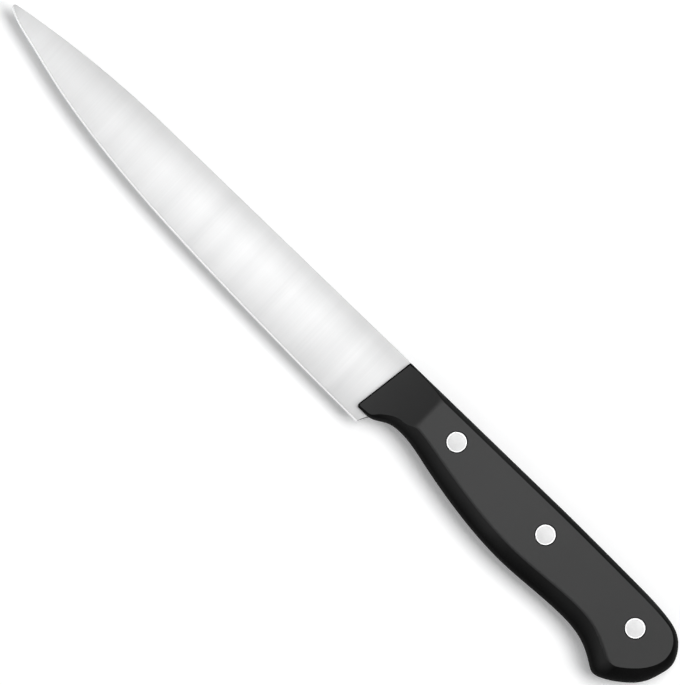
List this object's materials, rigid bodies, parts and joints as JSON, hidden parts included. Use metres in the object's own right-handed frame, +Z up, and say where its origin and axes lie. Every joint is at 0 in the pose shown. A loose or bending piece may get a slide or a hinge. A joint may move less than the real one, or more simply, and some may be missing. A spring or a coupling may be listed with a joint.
{
  "type": "fillet knife",
  "caption": "Fillet knife with a slim flexible blade, a full tang and black moulded scales held by flush rivets, lying on its side.",
  "frame": {"origin": "middle of the bounding box's underside, on the surface that the knife lies on", "axes": "+X from the blade's tip to the butt of the handle, +Y from the cutting edge to the back, +Z up through the thickness, from the right side to the left"},
  "size_m": [0.2792, 0.029, 0.015],
  "materials": {
    "knife_steel": "stainless steel, ground across the blade and lightly satin finished",
    "scale_plastic": "black moulded acetal with a satin skin",
    "rivet_metal": "ground flush with the scales and polished"
  },
  "bodies": {
    "root": {"blade_and_tang": "knife_steel", "handle_scale_left": "scale_plastic", "handle_scale_right": "scale_plastic", "front_rivet_post": "rivet_metal", "front_rivet_sleeve": "rivet_metal", "middle_rivet_post": "rivet_metal", "middle_rivet_sleeve": "rivet_metal", "rear_rivet_post": "rivet_metal", "rear_rivet_sleeve": "rivet_metal"}
  },
  "joints": []
}
